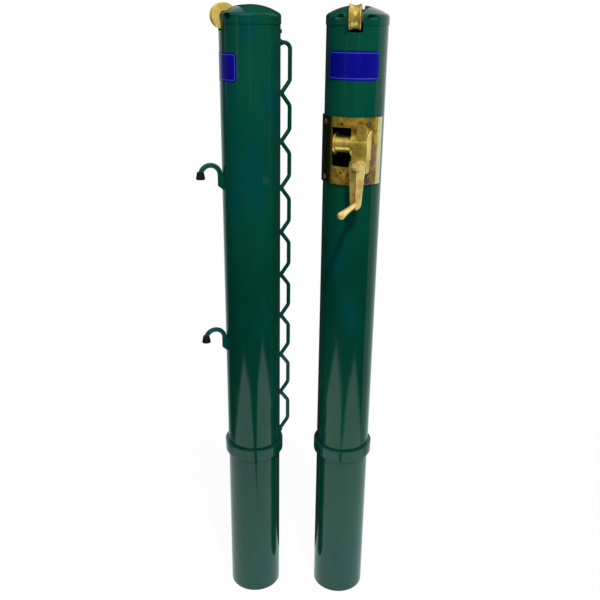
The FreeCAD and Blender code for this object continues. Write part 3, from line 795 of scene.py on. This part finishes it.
# %% Start a material without a shader
def bare_material(name):
    """A material with an empty tree, and a Socket that starts it."""
    material = bpy.data.materials.new(name)
    material.use_nodes = True
    material.node_tree.nodes.clear()
    return material, Socket(material.node_tree)


print("room and bare materials ready")


# %% [markdown]
# ## Floor
#
# The posts stand on a plain white floor.  A white paint alone would need so much light
# that the posts would burn out.  Instead the camera sees the floor glow white, while a
# small part of it answers to the lamps, so a soft shadow still shows.  For mirror rays the
# lit floor ends in two tongues in front, with a notch of the dark room between them, and
# these give each post its two pale flames.

# %% Lit part of the floor
tongue_length = 1.62
tongue_turn = 0.7
tongue_fall = 0.85
least_length = 0.85
notch_depth = 0.55
notch_half_turn = 0.28
edge_softness = 0.1


def floor_glow(side, front):
    """Brightness of the floor for mirror rays, by place to the side and in front."""
    away = distance(side, front)
    turn = heading_of(side, front).absolute()
    tongue = tongue_length - tongue_fall * (turn - tongue_turn).absolute()
    notch = notch_depth * (1 - turn / notch_half_turn).at_least(0.0)
    past_edge = away - (tongue.at_least(least_length) - notch)
    lit = 1 - past_edge.ramp(-edge_softness, edge_softness)
    return 0.95 * lit.at_least(room_glow(side / away, front * -1 / away))


print("lit floor ends", least_length, "to", tongue_length, "m from the posts")


# %% Floor's paint
def floor_paint():
    material, start = bare_material("white_floor")
    camera_ray = start.node("ShaderNodeLightPath", result="Is Camera Ray")
    x, y, _ = parts(start.node("ShaderNodeTexCoord", result="Object"))
    front = y * -1
    white = {"Color": (1, 1, 1), "Strength": 1.0}
    glow = start.node("ShaderNodeEmission", None, white)
    mirrored = {"Color": (0.78, 1.0, 0.98), "Strength": floor_glow(x, front)}
    reflection = start.node("ShaderNodeEmission", None, mirrored)
    paint = start.node("ShaderNodeBsdfDiffuse", None, {"Color": (0.8, 0.8, 0.8)})
    share = 0.95 + 0.05 * distance(x, front).ramp(0.4, 1.6)
    plain = share * camera_ray.at_least(camera_ray.beside("Is Transmission Ray"))
    seen = start.node("ShaderNodeMixShader", None, {0: plain, 1: paint, 2: glow})
    in_mirrors = {0: camera_ray.beside("Is Glossy Ray"), 1: seen, 2: reflection}
    whole = start.node("ShaderNodeMixShader", None, in_mirrors)
    start.node("ShaderNodeOutputMaterial", None, {"Surface": whole})
    return material


white_paint = floor_paint()
print("made", white_paint.name)


# %% Floor
floor_size = 24
floor_gap = 0.0005

bpy.ops.object.select_all(action="DESELECT")
floor_place = (between, 0, cad_box[0][2] - floor_gap)
bpy.ops.mesh.primitive_plane_add(size=floor_size, location=floor_place)
floor = bpy.context.object
floor.name = "floor"
dress(floor, white_paint)
print("floor at", round(floor.location.z, 4))


# %% [markdown]
# ## A dark card behind the gap
#
# The sides of the posts that face each other are dark, because the room behind the gap
# is.  Studios do this with a black card just out of view.  This one is seen by mirror rays
# alone, so it can stand close behind the posts, and it throws no shadow.

# %% Dark card
card_width = 0.32
card_height = 3.0
card_back = 0.11
card_glow = 0.02
middle_height = (cad_box[0][2] + cad_box[1][2]) / 2


def card_paint():
    material, start = bare_material("dark_card")
    cloud = noise(start.node("ShaderNodeTexCoord", result="Object"), 4.0)
    black = {"Color": (1, 1, 1), "Strength": card_glow + card_glow * cloud}
    glow = start.node("ShaderNodeEmission", None, black)
    start.node("ShaderNodeOutputMaterial", None, {"Surface": glow})
    return material


bpy.ops.object.select_all(action="DESELECT")
card_place = (between, card_back, middle_height)
bpy.ops.mesh.primitive_plane_add(size=1, location=card_place, rotation=(math.pi / 2, 0, 0))
card = bpy.context.object
card.name = "dark_card"
card.dimensions = (card_width, card_height, 0)
dress(card, card_paint())
for kind in ("camera", "diffuse", "transmission", "shadow", "volume_scatter"):
    setattr(card, "visible_" + kind, False)
print("card behind the gap at", round(card.location.x, 3))


# %% [markdown]
# ## Surroundings
#
# The world is white for the camera, and an even, plain light for matt surfaces.  Mirror
# rays see the room instead: white behind and beside the posts, dark in front with a few
# pale upright strips, and a soft ceiling.  A strip is given by its heading in degrees, its
# half width in radians and its brightness.

# %% The room in mirrors
window_strips = ((-98, 0.06, 0.4), (-43, 0.045, 0.5), (4, 0.035, 0.3))
ceiling_glow = 0.3
darkest = 0.02


def mirrored_room(direction):
    x, y, z = parts(direction)
    room = room_glow(x, y).at_least(z.ramp(0.2, 0.9) * ceiling_glow).at_least(darkest)
    for heading, half, glow in window_strips:
        off = (heading_of(x, y * -1) - math.radians(heading)).absolute()
        strip = (1 - off.ramp(half * 0.6, half)) * (1 - z.absolute().ramp(0.05, 0.3))
        room = room.at_least(strip * glow)
    return room


print(len(window_strips), "pale strips in front")


# %% World
matt_light = 0.38


def studio_world():
    world = bpy.data.worlds.new("studio")
    world.use_nodes = True
    world.node_tree.nodes.clear()
    start = Socket(world.node_tree)
    camera_ray = start.node("ShaderNodeLightPath", result="Is Camera Ray")
    white = camera_ray.at_least(camera_ray.beside("Is Transmission Ray"))
    room = mirrored_room(start.node("ShaderNodeTexCoord", result="Generated"))
    lit = matt_light + (room - matt_light) * camera_ray.beside("Is Glossy Ray")
    light = {"Color": (1, 1, 1), "Strength": lit + (1 - lit) * white}
    background = start.node("ShaderNodeBackground", None, light)
    start.node("ShaderNodeOutputWorld", None, {"Surface": background})
    return world


bpy.context.scene.world = studio_world()
print("world", bpy.context.scene.world.name)


# %% [markdown]
# ## Lamps
#
# Large lamps give soft light, and small ones give shadows.  Three large ones fill from
# the front, the side and the top.  A small key lamp, high in front, throws the crank's
# slanting shadow down the post.  Only the first shows in the gloss: the others would
# leave bright squares on the domes and the brass.

# %% Lamps
def soft_lamp(name, place, target, size, watts, mirrored):
    data = bpy.data.lights.new(name, "AREA")
    data.shape = "RECTANGLE"
    data.size = size
    data.size_y = size
    data.energy = watts
    lamp = bpy.data.objects.new(name, data)
    bpy.context.scene.collection.objects.link(lamp)
    lamp.location = place
    lamp.rotation_euler = (Vector(target) - Vector(place)).to_track_quat("-Z", "Y").to_euler()
    lamp.visible_camera = False
    lamp.visible_glossy = mirrored
    print("lamp", name, watts, "watts")


middle = (between, 0, middle_height)
soft_lamp("window", (between - 0.7, -2.5, 3.2), middle, 2.2, 10, True)
soft_lamp("side", (between + 2.4, -0.9, 1.7), middle, 1.6, 9, False)
soft_lamp("top", (between, 0.6, 3.6), middle, 1.6, 14, False)
soft_lamp("key", (between + 0.75, -2.6, 4.7), (between, 0, 1.1), 0.4, 260, False)


# %% [markdown]
# ## Camera
#
# The camera stands close in front at the height of the caps and looks down, so the posts
# draw together towards their feet.  A longer lens from further off would keep them even.
# It is rolled by a small angle about its own axis.

# %% Camera
camera_distance = 1.6646
camera_height = 1.4608
camera_pitch = math.radians(20.78)
camera_roll = 0.0128
camera_lens = 43.94

camera_data = bpy.data.cameras.new("camera")
camera_data.lens = camera_lens
camera_data.sensor_width = 36
camera_data.clip_end = 50
camera = bpy.data.objects.new("camera", camera_data)
bpy.context.scene.collection.objects.link(camera)
camera.location = (between, -camera_distance, camera_height)
tilt = Matrix.Rotation(math.pi / 2 - camera_pitch, 3, "X")
camera.rotation_euler = (tilt @ Matrix.Rotation(camera_roll, 3, "Z")).to_euler()
bpy.context.scene.camera = camera
bpy.context.scene.view_settings.view_transform = "Standard"
print("camera", camera_lens, "mm")
